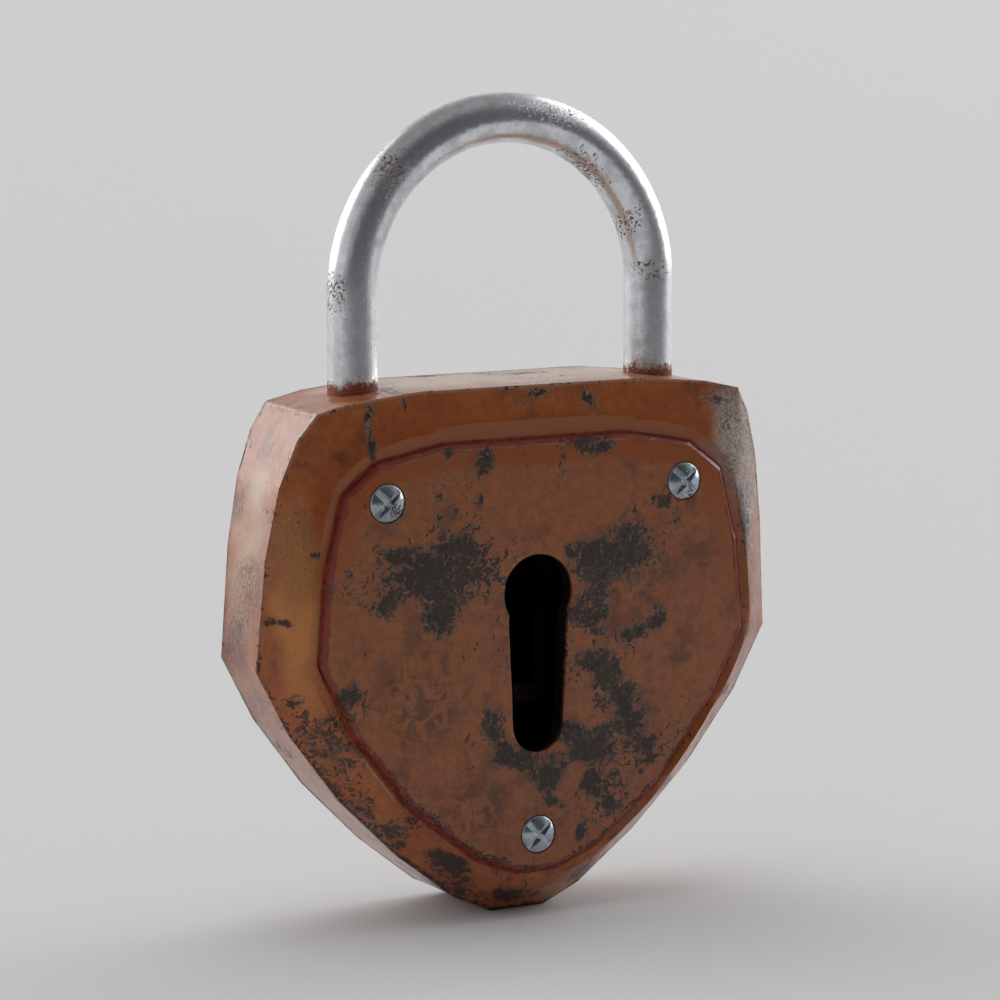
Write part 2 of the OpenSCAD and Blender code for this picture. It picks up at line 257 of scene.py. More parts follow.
def nearness(points, table):
    """Distance to the nearest spot, 0 in its middle and 1 at its rim, with uneven outlines."""
    wave, swing, blend = 4.5, 1.5, 5
    sway = np.array([noise.noise_vector(Vector(p) / MM / wave)[:] for p in points])
    at = points / MM + swing * sway
    best = np.full(len(points), FAR)
    for x, y, z, half_x, half_y, half_z, turn in table:
        c, s = math.cos(math.radians(turn)), math.sin(math.radians(turn))
        gap = at - np.array([x, y, z])
        along, up = gap[:, 0] * c - gap[:, 2] * s, gap[:, 0] * s + gap[:, 2] * c
        reach = np.sqrt((along / half_x) ** 2 + (gap[:, 1] / half_y) ** 2 + (up / half_z) ** 2)
        best = -np.log(np.exp(-blend * best) + np.exp(-blend * np.minimum(reach, FAR))) / blend
    return best


def mark_spots(piece, points, scabs, tints):
    """Stores how near each vertex is to a scab, and the strength of every tint there."""
    mark(piece, "scab_reach", nearness(points, scabs))
    faint, band = 1.2, 0.85
    for i, (table, _, share, _) in enumerate(tints):
        inner = np.clip((faint - nearness(points, table)) / band, 0, 1)
        mark(piece, "tint_%d" % i, share * inner * inner * (3 - 2 * inner))


def points_of(bm):
    return np.array([v.co[:] for v in bm.verts])


def stand_for(piece, node_name, body, material):
    """Puts a worn piece in the place of its CAD node."""
    piece.data.materials.append(material)
    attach(piece, body)
    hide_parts(node_name)


def dent(bm, verts, wave, depth, edge_gap, nibble):
    """Moves verts inwards: broad dents of depth mm, and edges nibbled by about nibble mm."""
    bite_reach, bite_wave, bite_place = 1.1, 2.3, Vector((7, 3, 1))
    bm.normal_update()
    moves = []
    for v, gap in zip(verts, edge_gap):
        p = v.co / MM
        broad = 0.5 + 0.5 * noise.fractal(p / wave, 0.8, 2.0, 3)
        near = max(0.0, 1 - gap / bite_reach)
        bite = max(0.0, noise.fractal(p / bite_wave + bite_place, 0.6, 2.0, 4) + 0.15)
        moves.append((v, -v.normal * (depth * min(max(broad, 0), 1) + nibble * near * bite) * MM))
    for v, step in moves:
        v.co += step


# ---------------------------------------------------------------- materials

def ragged_edge(tree, inside, fine, share, low, high):
    """Mask that is solid well inside a patch and frays into the fine noise at its rim."""
    frayed = add(tree, "Math", {0: fine, 1: share, 2: inside}, operation="MULTIPLY_ADD").outputs[0]
    return fade(tree, frayed, low, high)


def wobbled(tree, place, size, amount):
    """Place pushed about by noise, so that round spots get uneven outlines."""
    field = add(tree, "TexNoise", {"Vector": place, "Scale": 1 / size, "Detail": 3, "Roughness": 0.55})
    centred = add(tree, "VectorMath", {0: field.outputs["Color"], 1: (0.5, 0.5, 0.5)}, operation="SUBTRACT")
    return add(tree, "VectorMath", {0: centred.outputs[0], 1: (amount,) * 3, 2: place},
               operation="MULTIPLY_ADD").outputs[0]


# Heights in mm between which the painted shade band round the cover plate grows stronger
SHADE_BAND_FOOT, SHADE_BAND_TOP = 36, 62


def iron_rust(name, skin, warm, seam_band_shade, tints, red_reach, chip_limit):
    """Oxidised cast iron: a smooth brown skin of old rust with a satin gloss, ragged scabs of
    black scale, red young rust that creeps out of the seams with a dark red band beside it that is
    partly painted shade, and rubbed edges that are partly a painted highlight near the top. A painted
    shade band runs along the seam high up, and painted shade darkens the recesses. Red rust reaches
    about red_reach mm from the seam, and a higher chip_limit leaves fewer chips along the edges."""
    mat, tree, shader, place = new_material(name)
    height = add(tree, "SeparateXYZ", {0: place}).outputs["Z"]
    seam = add(tree, "Attribute", attribute_name="seam_mm").outputs["Fac"]
    edge = add(tree, "Attribute", attribute_name="edge_mm").outputs["Fac"]
    recess_shade = add(tree, "Attribute", attribute_name="recess_shade").outputs["Fac"]

    # Skin: slow drift between two browns, dark smudges, and a fine grain
    drift = pattern(tree, place, 13, 0.36, 0.64)
    smudge = pattern(tree, place, 5, 0.52, 0.68, detail=6, rough=0.62, shift=51, top=0.55)
    mottle = pattern(tree, place, 1.3, 0.25, 0.75, detail=7, rough=0.7, shift=11)
    grain = fade(tree, mottle, 0.9, 0.1, 0.3)

    # Seam: a painted shade band a few millimetres wide, darker and more saturated, stronger higher up,
    # where it stands in for the dimmer reflection along the top of the seam; and red young rust at the gap
    seam_wave = add(tree, "TexNoise", {"Vector": place, "Scale": 1 / 3, "Detail": 5}).outputs[0]
    seam_gap = add(tree, "Math", {0: seam_wave, 1: 1.6, 2: seam}, operation="MULTIPLY_ADD").outputs[0]
    upper = fade(tree, height, SHADE_BAND_FOOT, SHADE_BAND_TOP, 0.95)
    near = fade(tree, seam_gap, 4.4, 2.6)
    near = add(tree, "Math", {0: near, 1: upper}, operation="MULTIPLY").outputs[0]
    # A dark red band beyond the red rust: rust stain, darkened as painted shade on the groove's outer slope
    blush_and_shade = fade(tree, seam_gap, 0.8 + red_reach * 1.8, 0.8 + red_reach * 0.9, 0.85)
    red = fade(tree, seam, red_reach * 0.9, red_reach * 0.5)

    # Scabs of black scale: placed ones with a soft shade under them, curled flecks scattered in
    # drifts and round the scabs, grit, and chips along the edges
    fine = add(tree, "TexNoise", {"Vector": place, "Scale": 1 / 1.1, "Detail": 8, "Roughness": 0.74,
                                  "Distortion": 0.7}).outputs[0]
    reach = add(tree, "Attribute", attribute_name="scab_reach").outputs["Fac"]
    shade = fade(tree, reach, 1.3, 0.5, 0.4)
    inside = add(tree, "Math", {0: 1.0, 1: reach}, operation="SUBTRACT").outputs[0]
    body = ragged_edge(tree, inside, fine, 3.2, 1.72, 1.9)
    holes = pattern(tree, place, 2.0, 0.33, 0.4, detail=7, rough=0.72, shift=63, curl=1.0)
    body = add(tree, "Math", {0: body, 1: holes}, operation="MULTIPLY").outputs[0]
    where = pattern(tree, place, 10, 0.33, 0.7, detail=3, shift=23)
    around = add(tree, "Math", {0: inside, 1: 0.25, 2: where}, operation="MULTIPLY_ADD").outputs[0]
    curls = add(tree, "TexNoise", {"Vector": place, "Scale": 1 / 1.3, "Detail": 6, "Roughness": 0.66,
                                   "Distortion": 1.6}).outputs[0]
    flecks = ragged_edge(tree, around, curls, 5.0, 3.28, 3.5)
    scab = add(tree, "Math", {0: body, 1: flecks}, operation="MAXIMUM").outputs[0]
    low_down = fade(tree, height, 46, 8, 0.9)
    at_edge = fade(tree, edge, 2.0, 0.2, 0.9)
    chips = add(tree, "Math", {0: at_edge, 1: low_down, 2: at_edge}, operation="MULTIPLY_ADD").outputs[0]
    chips = ragged_edge(tree, chips, curls, 5.0, 3.7 + chip_limit, 4.0 + chip_limit)
    scab = add(tree, "Math", {0: scab, 1: chips}, operation="MAXIMUM").outputs[0]
    grit = pattern(tree, place, 0.55, 0.63, 0.68, detail=3, shift=5, curl=0.8)
    grit = add(tree, "Math", {0: grit, 1: where}, operation="MULTIPLY").outputs[0]
    dense = add(tree, "Math", {0: scab, 1: 0.94}, operation="MULTIPLY").outputs[0]
    grit = add(tree, "Math", {0: grit, 1: 0.7}, operation="MULTIPLY").outputs[0]

    # Ash: paler brown flakes inside the scabs
    ash = pattern(tree, place, 1.7, 0.5, 0.68, detail=7, rough=0.7, shift=77, top=0.7, curl=1.2)
    ash = add(tree, "Math", {0: ash, 1: scab}, operation="MULTIPLY").outputs[0]

    # Hair scratches that curl over everything: the thin band round the middle of a noise
    hair = add(tree, "TexNoise", {"Vector": place, "Scale": 1 / 1.9, "Detail": 3,
                                  "Distortion": 2.2}).outputs[0]
    hair = add(tree, "Math", {0: hair, 1: 0.5, 2: 0.008}, operation="COMPARE").outputs[0]
    hair = add(tree, "Math", {0: hair, 1: around}, operation="MULTIPLY").outputs[0]
    hair = add(tree, "Math", {0: hair, 1: 0.32}, operation="MULTIPLY").outputs[0]

    # Rubbed edges, paler than the skin and kept to the top: wear and a painted highlight on the top edges
    worn = fade(tree, height, 58, 66)
    rub_and_highlight = fade(tree, edge, 0.5, 0.1, 0.8)
    rub_and_highlight = add(tree, "Math", {0: rub_and_highlight, 1: worn}, operation="MULTIPLY").outputs[0]

    # Colours from the bottom layer up, the painted shade band along the seam among them; patchy tints
    # also roughen the relief
    layers = [(drift, warm), (smudge, "#553022"), (grain, "#2c1a14"), (near, seam_band_shade)]
    rough = 0.0
    for i, (_, tint, _, patchy) in enumerate(tints):
        zone = add(tree, "Attribute", attribute_name="tint_%d" % i).outputs["Fac"]
        if patchy:
            patches = pattern(tree, place, patchy, 0.44, 0.58, detail=6, rough=0.7, shift=31, curl=1.8)
            zone = add(tree, "Math", {0: zone, 1: patches}, operation="MULTIPLY").outputs[0]
            rough = add(tree, "Math", {0: rough, 1: zone}, operation="ADD").outputs[0]
        layers.append((zone, tint))
    # The rub layer is wear and a painted highlight; the blush layer is partly painted shade
    layers += [(blush_and_shade, "#64220c"), (shade, "#3c271b"), (rub_and_highlight, "#b08a72"), (red, "#8e321c")]
    # Last of all, painted shade that darkens the recesses and the keyhole's wall
    layers += [(dense, "#23160b"), (ash, "#52391f"), (grit, "#2a1b14"), (hair, "#8a6a58"), (recess_shade, "#17110e")]
    base = colour(skin)
    for mask, tint in layers:
        base = add(tree, "Mix", {FAC: mask, COL_A: base, COL_B: colour(tint)},
                   data_type="RGBA").outputs[COL_OUT]
    tree.links.new(base, shader.inputs["Base Color"])

    # Gloss: satin skin, dull scale, and a thin hard film that catches light at a grazing angle
    skin_gloss = add(tree, "MapRange", {"Value": mottle, "To Min": 0.48, "To Max": 0.36}).outputs[0]
    gloss = add(tree, "Mix", {FAC: scab, NUM_A: skin_gloss, NUM_B: 0.65}, data_type="FLOAT").outputs[0]
    gloss = add(tree, "Mix", {FAC: red, NUM_A: gloss, NUM_B: 0.65}, data_type="FLOAT").outputs[0]
    tree.links.new(gloss, shader.inputs["Roughness"])
    shader.inputs["IOR"].default_value = 1.5
    shader.inputs["Specular IOR Level"].default_value = 0.2
    shader.inputs["Coat Weight"].default_value = 0.7
    shader.inputs["Coat Roughness"].default_value = 0.17

    # Relief: pitted scale and the grain of the skin
    pitted = add(tree, "Math", {0: fine, 1: scab}, operation="MULTIPLY").outputs[0]
    relief = add(tree, "Math", {0: mottle, 1: 0.15, 2: pitted}, operation="MULTIPLY_ADD").outputs[0]
    relief = add(tree, "Math", {0: rough, 1: 0.5, 2: relief}, operation="MULTIPLY_ADD").outputs[0]
    bump = add(tree, "Bump", {"Height": relief, "Distance": 0.12 * MM, "Strength": 0.9})
    tree.links.new(bump.outputs[0], shader.inputs["Normal"])
    tree.links.new(bump.outputs[0], shader.inputs["Coat Normal"])
    return mat


def packed_rust():
    """Young rust that has grown in a seam: matt, crumbly and red, with orange grains."""
    mat, tree, shader, place = new_material("packed_red_rust")
    grains = pattern(tree, place, 0.9, 0.35, 0.65, detail=6, rough=0.7)
    base = add(tree, "Mix", {FAC: grains, COL_A: colour("#74260f"), COL_B: colour("#a03c24")},
               data_type="RGBA").outputs[COL_OUT]
    tree.links.new(base, shader.inputs["Base Color"])
    shader.inputs["Roughness"].default_value = 0.8
    bump = add(tree, "Bump", {"Height": grains, "Distance": 0.08 * MM, "Strength": 0.8})
    tree.links.new(bump.outputs[0], shader.inputs["Normal"])
    return mat


def polished_steel(name, tint, dull, gloss, rust_spots, base_line=None):
    """Drawn steel, polished: bright, hazed by handling, with fine pits and clusters of rust. At
    base_line, a height in mm, stands a rust ring about 2 mm high, with a fainter stain below it."""
    mat, tree, shader, place = new_material(name)
    uneven = wobbled(tree, place, 2.5, 3)
    haze = pattern(tree, place, 2.5, 0.35, 0.7, detail=6, rough=0.65, shift=2)
    base = add(tree, "Mix", {FAC: haze, COL_A: colour(tint), COL_B: colour(dull)},
               data_type="RGBA").outputs[COL_OUT]
    reach = spots(tree, uneven, rust_spots)
    inside = fade(tree, reach, 1.8, 0.2, 0.85)
    fine = add(tree, "TexNoise", {"Vector": place, "Scale": 1 / 0.38, "Detail": 6, "Roughness": 0.72,
                                  "Distortion": 0.5}).outputs[0]
    pits = ragged_edge(tree, inside, fine, 4.5, 3.12, 3.3)
    hue = pattern(tree, place, 2.2, 0.44, 0.56, detail=5, shift=9)
    rust = add(tree, "Mix", {FAC: hue, COL_A: colour("#3b302d"), COL_B: colour("#84503c")},
               data_type="RGBA").outputs[COL_OUT]
    if base_line is not None:
        height = add(tree, "SeparateXYZ", {0: uneven}).outputs["Z"]
        low = add(tree, "MapRange", {"Value": height, "From Min": base_line + 2.3,
                                     "From Max": base_line - 0.2}).outputs[0]
        hidden = fade(tree, height, base_line - 0.5, base_line - 6, 0.42)
        low = add(tree, "Math", {0: low, 1: hidden}, operation="SUBTRACT").outputs[0]
        low = ragged_edge(tree, low, fine, 2.0, 1.4, 1.9)
        pits = add(tree, "Math", {0: pits, 1: low}, operation="MAXIMUM").outputs[0]
        rust = add(tree, "Mix", {FAC: low, COL_A: rust, COL_B: colour("#8f4630")},
                   data_type="RGBA").outputs[COL_OUT]
    base = add(tree, "Mix", {FAC: pits, COL_A: base, COL_B: rust}, data_type="RGBA").outputs[COL_OUT]
    tree.links.new(base, shader.inputs["Base Color"])
    metal = add(tree, "Math", {0: 1.0, 1: pits}, operation="SUBTRACT").outputs[0]
    tree.links.new(metal, shader.inputs["Metallic"])
    shine = add(tree, "MapRange", {"Value": haze, "To Min": gloss, "To Max": gloss + 0.1}).outputs[0]
    shine = add(tree, "Mix", {FAC: pits, NUM_A: shine, NUM_B: 0.7}, data_type="FLOAT").outputs[0]
    tree.links.new(shine, shader.inputs["Roughness"])
    relief = add(tree, "Math", {0: fine, 1: 0.06, 2: pits}, operation="MULTIPLY_ADD").outputs[0]
    bump = add(tree, "Bump", {"Height": relief, "Distance": 0.05 * MM, "Strength": 0.7}, invert=True)
    tree.links.new(bump.outputs[0], shader.inputs["Normal"])
    return mat


# Spots: x, y, z, half sizes along x, y and z, and turn about Y in degrees
FRONT, RIM, BACK = -9.5, -7.5, 9.3
PLATE_SCABS = [(x, FRONT, z, half_x, 9, half_z, turn)
               for x, z, half_x, half_z, turn in (
    (-16.5, 46.6, 7.4, 3.6, 5), (-14.0, 41.5, 3.5, 3.5, 0), (-21.7, 43.4, 2.6, 1.7, 0),
    (-20.5, 49.4, 3.2, 1.3, 0), (-12.4, 49.4, 3.6, 1.5, 0), (9.5, 46.8, 5.2, 3.8, -20),
    (14.0, 47.6, 2.6, 2.4, 0), (5.4, 48.8, 1.6, 1.3, 0), (7.7, 42.4, 2.6, 1.5, 0),
    (8.8, 39.4, 2.2, 1.5, -30), (5.6, 40.0, 1.1, 1.6, 0), (9.4, 36.6, 1.3, 0.9, 0),
    (14.3, 36.2, 3.3, 1.8, -15), (17.3, 37.6, 1.5, 1.3, 0), (7.4, 33.8, 3.2, 1.7, 10),
    (10.6, 31.6, 2.4, 1.8, 30), (12.9, 28.8, 2.4, 2.1, 0), (13.6, 25.2, 3.0, 2.6, 0),
    (9.4, 24.4, 2.2, 1.2, -30), (6.4, 21.8, 2.8, 1.3, -30), (8.6, 21.6, 3.4, 2.2, 0),
    (4.6, 23.8, 2.6, 1.9, 0), (8.6, 16.8, 1.6, 2.6, 0), (10.6, 14.0, 1.2, 1.8, 0),
    (16.0, 20.8, 1.6, 1.4, 0), (-7.0, 26.2, 1.7, 3.4, 5), (-5.8, 22.4, 2.3, 2.3, 0),
    (-2.4, 21.4, 2.8, 2.0, 0), (1.2, 18.6, 3.0, 2.4, 0), (2.8, 15.4, 2.2, 1.3, 20),
    (5.9, 11.0, 0.8, 2.2, 20), (-13.0, 61.9, 1.1, 0.9, 0), (-8.5, 61.0, 1.5, 2.0, 0),
    (-8.8, 56.0, 0.8, 1.6, 0), (9.3, 62.4, 3.0, 1.0, 4), (18.4, 53.0, 0.9, 0.9, 0),
    (20.4, 50.8, 1.0, 0.7, 0), (-26.9, 31.9, 1.8, 1.6, 0), (2.6, 60.6, 0.4, 1.0, 0),
    (-25.4, 36.6, 0.7, 0.7, 0), (17.4, 40.0, 0.8, 0.5, 0),
)]
CASE_SCABS = [(x, RIM, z, half_x, 4, half_z, turn)
               for x, z, half_x, half_z, turn in (
    (-19.1, 68.2, 0.9, 1.3, 20), (-23.6, 63.6, 1.1, 2.8, 0), (-24.2, 67.0, 1.0, 1.4, 0),
    (1.3, 68.6, 2.2, 0.7, 0), (8.8, 67.6, 0.9, 1.9, 0), (-36.2, 42.0, 1.2, 1.0, 0),
    (-31.2, 25.4, 3.0, 1.4, 15), (-28.4, 23.2, 1.8, 1.8, 0), (-25.0, 17.0, 2.4, 1.6, 30),
    (-20.0, 12.6, 2.6, 1.6, 30), (-13.0, 7.6, 4.2, 1.6, 30), (31.6, 49.4, 0.9, 6.0, 3),
    (30.4, 55.8, 0.7, 1.2, 0), (29.4, 26.6, 1.0, 2.0, 35), (22.0, 15.4, 1.2, 2.6, 45),
    (-3.0, 2.6, 4.6, 1.4, 0), (8.0, 4.6, 3.0, 1.4, -30), (27.4, 66.4, 1.0, 0.6, 0),
    (-33.8, 31.0, 0.6, 1.0, 0), (-10.0, 4.4, 2.0, 1.0, 30), (-31.6, 50.4, 1.5, 0.5, -20),
    (-33.0, 54.6, 1.1, 0.6, 0), (-34.6, 41.8, 0.7, 0.6, 0), (-32.6, 37.0, 0.7, 0.5, 0),
)]
CASE_SCABS += [(x, BACK, z, half_x, 3, half_z, turn)
               for x, z, half_x, half_z, turn in (
    (-18.0, 52.0, 6.0, 3.4, 10), (-12.5, 47.0, 2.6, 3.0, 0), (13.5, 41.0, 4.6, 4.6, -20),
    (16.5, 34.0, 3.0, 2.6, 0), (4.0, 58.5, 3.6, 1.4, 0), (-7.0, 27.5, 3.8, 2.4, 30),
    (-2.5, 22.0, 2.6, 3.2, 0), (8.5, 17.5, 4.2, 1.8, -30), (-16.0, 33.0, 2.0, 2.6, 0),
    (23.5, 54.0, 1.6, 3.2, 0), (-28.0, 43.0, 1.4, 4.2, 0), (2.0, 8.0, 4.2, 1.8, 0),
    (12.5, 61.0, 2.2, 0.9, 0), (-24.5, 59.5, 2.2, 1.3, 0), (21.0, 25.5, 1.8, 1.3, 0),
    (-1.0, 44.0, 1.4, 1.0, 0),
)]
CASE_SCABS += [
    (36.5, 1.0, 51.0, 4, 3.6, 3.0, 0), (36.5, 4.5, 38.0, 4, 2.6, 4.6, 0), (27.0, 3.0, 23.0, 4, 4.0, 2.4, 0),
    (-28.0, 4.0, 23.0, 4, 3.0, 2.0, 0), (6.0, 4.0, 70.0, 3.0, 1.4, 2, 0), (-8.0, 6.5, 70.0, 2.2, 0.9, 2, 0),
]

# Tints: spots, colour, strength, and patch size in mm or 0 for an even tint
PLATE_TINTS = [
    # darker drifts over the skin
    ([(-17, FRONT, 30, 8, 9, 7, 30), (-9, FRONT, 15, 6, 9, 5, 30), (13, FRONT, 45, 9, 9, 7, 0)],
     "#4a2a20", 0.7, 3.0),
    # young rust by the right screw and beside the keyhole's foot
    ([(22.9, FRONT, 53.4, 1.6, 9, 2.2, 0), (3.6, FRONT, 24.6, 1.7, 9, 2.2, 25)], "#6f3024", 0.85, 0),
]
CASE_TINTS = [
    # young rust round both feet of the shackle
    ([(-LEG_X / MM, 0, 70, 6, 6, 2.0, 0), (LEG_X / MM, 0, 70, 5.4, 5.4, 2.0, 0)], "#a8402a", 1.0, 0),
    # ochre low on the left rim
    ([(-24.2, -7, 19.0, 2.4, 3, 2.0, 30), (-20.5, -7, 14.6, 2.0, 3, 1.6, 30)], "#9a5a10", 0.8, 0),
    # painted sheen: the top face paler, as from a grazing reflection
    ([(0, 1.5, 70, 42, 9, 1.6, 0)], "#c0aa94", 0.8, 0),
    # left wall: a painted sheen that makes the upper wall paler, with browner patches lower down
    ([(-37.5, 2, 56, 3, 8, 20, 0)], "#c8a88c", 0.85, 0),
    ([(-37.5, 0, 45, 3, 6, 6, 0)], "#84401c", 1.0, 0.8),
    # left rim: a worn golden streak with dark specks
    ([(-33.6, -7.6, 50, 3.2, 3, 8, 0)], "#b8803c", 1.0, 0.6),
    ([(-33.6, -7.6, 49, 3.0, 3, 7, 0)], "#33201a", 0.95, 0.5),
    # an even lighter orange over the left rim: painted light on the side that faces the left lamps
    ([(-33.8, -7.6, 42, 4.4, 3, 16, 0)], "#c8803c", 0.75, 0),
    # back and right wall: darker rust, in patches
    ([(0, 9.5, 38, 60, 3, 60, 0)], "#5a3018", 0.8, 0),
    ([(0, 9.5, 38, 46, 3, 46, 0)], "#41200f", 0.75, 6),
    ([(-4, 9.5, 40, 30, 3, 18, 0), (30, 2, 40, 12, 9, 24, 0)], "#472620", 0.75, 1.7),
    # upper right rim: painted sheen in pale grey, speckled dark
    ([(30.2, -7, 62.0, 5.0, 6, 7.0, 0), (33.2, -6, 53.0, 2.2, 6, 9, 0)], "#b8a498", 0.85, 0),
    ([(30.2, -7, 62.0, 5.0, 6, 7.0, 0), (33.2, -6, 50.0, 2.4, 6, 12, 0)], "#3a2a24", 0.95, 0.8),
    # left wall: dark crumbly patches
    ([(-37.5, 4, 37.5, 3, 5, 6, 0), (-37, 6, 55, 3, 3, 3, 0), (-36, 6, 24, 4, 3, 6, 0)],
     "#46302e", 1.0, 0.9),
]
SHACKLE_RUST = [
    (-17.8, -2, 97.6, 2.4, 4, 3.6, 40), (-25.2, -1, 82.4, 1.8, 4, 3.4, 0),
    (6.5, -2, 104.6, 6.5, 4, 1.6, 10), (11.4, -1, 97.4, 5.6, 4, 2.0, 42),
    (17.4, -1, 89.4, 1.8, 4, 4.4, 20), (21.0, -3, 83.6, 4.2, 4, 1.7, 0),
]

# The last colour given to each is the painted shade band along the seam
case_rust = iron_rust("oxidised_cast_iron_case", "#a65222", "#ae5e26", "#964800", CASE_TINTS,
                      red_reach=0.45, chip_limit=0.0)
plate_rust = iron_rust("oxidised_iron_cover", "#a35c34", "#a65e2c", "#984800", PLATE_TINTS,
                       red_reach=0.2, chip_limit=0.45)
seam_rust = packed_rust()
bar_steel = polished_steel("polished_steel_bar", "#e4e6ea", "#c4c6ca", 0.24, SHACKLE_RUST, CASE_TOP / MM)
screw_steel = polished_steel("bright_steel_screw", "#b6bec6", "#8a929a", 0.16,
                             [(22.8, -10, 54.2, 1.6, 2, 1.6, 0), (-20.8, -10, 55.4, 1.8, 2, 1.8, 0)])


# ---------------------------------------------------------------- worn pieces

def in_keyhole(point):
    """Whether a point is on the keyhole's part of the cover plate."""
    half, foot, top = 6 * MM, 20 * MM, 56 * MM
    return abs(point.x) < half and foot < point.z < top


def near_screw(point):
    """Whether a point of the cover plate is at a screw hole."""
    reach = 3.4 * MM
    return any((Vector((point.x, point.z)) - spot).length < reach for spot in SCREW_SPOTS)


def mark_wear(piece, at, seam_gap, edge_gap, recess_shade, scabs, tints):
    """Stores everything that the rust material reads from a piece's vertices."""
    mark(piece, "seam_mm", seam_gap)
    mark(piece, "edge_mm", edge_gap)
    mark(piece, "recess_shade", recess_shade)
    mark_spots(piece, at, scabs, tints)


def worn_plate():
    """Cover plate, rounded along its edges and dented in front. Returns the lines of its rim."""
    bm = merged_copy("front_plate")
    planes = outer_planes(bm)

    def on_rim(e):
        ends = all(on_outside(v.co, planes) and v.co.y < PLATE_FRONT + 0.5 * MM
                   and not in_keyhole(v.co) for v in e.verts)
        return ends and not near_screw(middle_of(e))

    def in_front(e):
        return all(v.co.y < PLATE_FRONT + 0.01 * MM for v in e.verts)

    rim = sharp_edges(bm, 25, on_rim)
    rim_set = set(rim)
    rim_lines = segments(rim)
    hole = [e for e in sharp_edges(bm, 40, in_front) if e not in rim_set]
    hole_lines = segments([e for e in hole if not near_screw(e.verts[0].co)])
    bevel(bm, rim, 0.12)
    bevel(bm, sharp_edges(bm, 60, lambda e: in_front(e) and not near_screw(e.verts[0].co)), 0.14)
    grid_cut(bm, [f for f in bm.faces if f.normal.y < -0.3], 1.0)
    bm.verts.index_update()

    at = points_of(bm)
    edge_gap = np.minimum(gap_to(at, rim_lines), gap_to(at, hole_lines))
    front = [v for v in bm.verts if v.co.y < PLATE_FRONT + 0.6 * MM]
    dent(bm, front, wave=11, depth=0.05, edge_gap=edge_gap[[v.index for v in front]], nibble=0.08)

    at = points_of(bm)
    seam_gap = gap_to(at, rim_lines)
    edge_gap = np.minimum(seam_gap, gap_to(at, hole_lines))
    depth = (at[:, 1] - PLATE_FRONT) / MM
    # Painted shade, darker the deeper a point lies behind the front. Not clipped in the keyhole:
    # its wall has no vertices between front and back, and the mix is clamped
    in_hole = np.array([in_keyhole(Vector(p)) for p in at])
    recess_shade = np.where(in_hole, depth / 0.5 - 0.3, np.clip(depth / 0.9 - 0.15, 0, 1))
    recess_shade = np.where(np.array([near_screw(Vector(p)) for p in at]), 0, recess_shade)
    piece = finish_mesh(bm, "cover_plate_worn")
    mark_wear(piece, at, seam_gap, edge_gap, recess_shade, PLATE_SCABS, PLATE_TINTS)
    stand_for(piece, "front_plate", "case_body", plate_rust)
    weigh_normals(piece)
    return rim_lines


def worn_case(seam_lines):
    """Case, with its outer edges rounded and nibbled, its facets eased, and its flats dented."""
    bm = merged_copy("case")
    planes = outer_planes(bm)

    def outer(e):
        return all(on_outside(v.co, planes) for v in e.verts) and on_outside(middle_of(e), planes)

    def at_seam(e):
        return gap_to(np.array([e.verts[0].co[:]]), seam_lines)[0] < 2.2

    def at_bore(e):
        return e.calc_face_angle(0) > math.radians(80) and all(
            v.co.z > CASE_TOP - 0.1 * MM
            and abs(math.hypot(abs(v.co.x) - LEG_X, v.co.y) - BORE_RADIUS) < 0.2 * MM for v in e.verts)

    sharp = sharp_edges(bm, 32, outer)
    sharp_set = set(sharp)
    soft_lines = segments([e for e in sharp_edges(bm, 1, outer) if e not in sharp_set])
    corners = [e for e in sharp if not at_seam(e) and not at_bore(e)]
    edge_lines = segments(corners)
    bevel(bm, corners, 0.55, 3)
    grid_cut(bm, [f for f in bm.faces if all(on_outside(v.co, planes) for v in f.verts)
                  and on_outside(f.calc_center_median(), planes)], 1.2)
    bm.verts.index_update()

    # Facets: the shallow edges between them are smoothed over a band, short of the sharp corners
    band, short_of, passes = 6, 0.9, 30
    at = points_of(bm)
    edge_gap, soft_gap = gap_to(at, edge_lines), gap_to(at, soft_lines)
    skin = [v for v in bm.verts if v.co.z > 0.6 * MM and on_outside(v.co, planes)]
    skin_gap = edge_gap[[v.index for v in skin]]
    eased = [v for v in skin if soft_gap[v.index] < band and edge_gap[v.index] > short_of]
    for _ in range(passes):
        bmesh.ops.smooth_vert(bm, verts=eased, factor=0.5, use_axis_x=True, use_axis_y=True, use_axis_z=True)
    dent(bm, skin, wave=12, depth=0.05, edge_gap=skin_gap, nibble=0.07)

    at = points_of(bm)
    edge_gap, seam_gap = gap_to(at, edge_lines), gap_to(at, seam_lines)
    # Painted shade, darker the further a point lies in from the hull
    recess_shade = np.clip((depth_under(at, planes) - 1.0) / 1.2, 0, 1)
    piece = finish_mesh(bm, "case_worn")
    mark_wear(piece, at, seam_gap, edge_gap, recess_shade, CASE_SCABS, CASE_TINTS)
    stand_for(piece, "case", "case_body", case_rust)
    weigh_normals(piece)


def in_order(lines):
    """Chains line segments into one closed path, each to the nearest end that is left. The plate's
    rim is three outlines: the front edge of its bevel, and two at its foot that nearly coincide.
    They come out as three turns, the last of them walked the other way."""
    loop, rest = [lines[0][0], lines[0][1]], list(lines[1:])
    while rest:
        ends = [min(np.linalg.norm(e[0] - loop[-1]), np.linalg.norm(e[1] - loop[-1])) for e in rest]
        a, b = rest.pop(int(np.argmin(ends)))
        loop.append(b if np.linalg.norm(a - loop[-1]) < np.linalg.norm(b - loop[-1]) else a)
    return loop[:-1]


